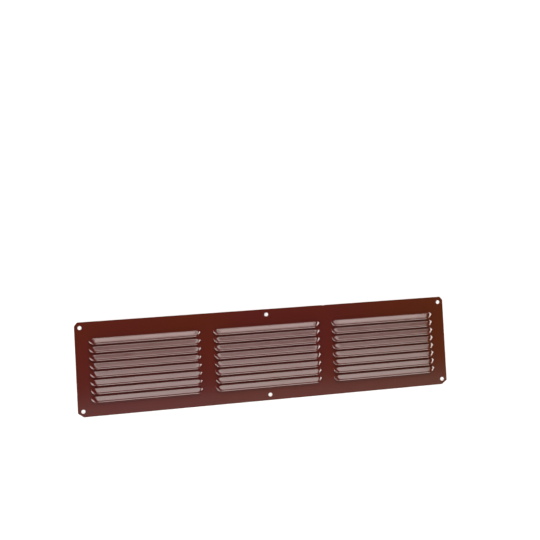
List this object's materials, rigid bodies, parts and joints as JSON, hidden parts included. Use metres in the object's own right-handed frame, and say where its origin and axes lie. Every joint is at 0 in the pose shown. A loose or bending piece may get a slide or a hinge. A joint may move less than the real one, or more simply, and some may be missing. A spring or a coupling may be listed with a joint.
{
  "type": "soffit vent",
  "caption": "Flat louvred soffit vent pressed from one painted aluminium sheet, with rows of hooded slots that let air through the eaves.",
  "frame": {"origin": "middle of the back face, which the vent lies on and which sits against the soffit", "axes": "+X along the vent's length, +Y across it from the louvre openings towards their hinge lines, +Z out of the louvred face"},
  "size_m": [0.4064, 0.0984, 0.0039],
  "materials": {
    "brown_paint": "semi-gloss"
  },
  "bodies": {
    "root": {"louvred_plate": "brown_paint"}
  },
  "joints": []
}
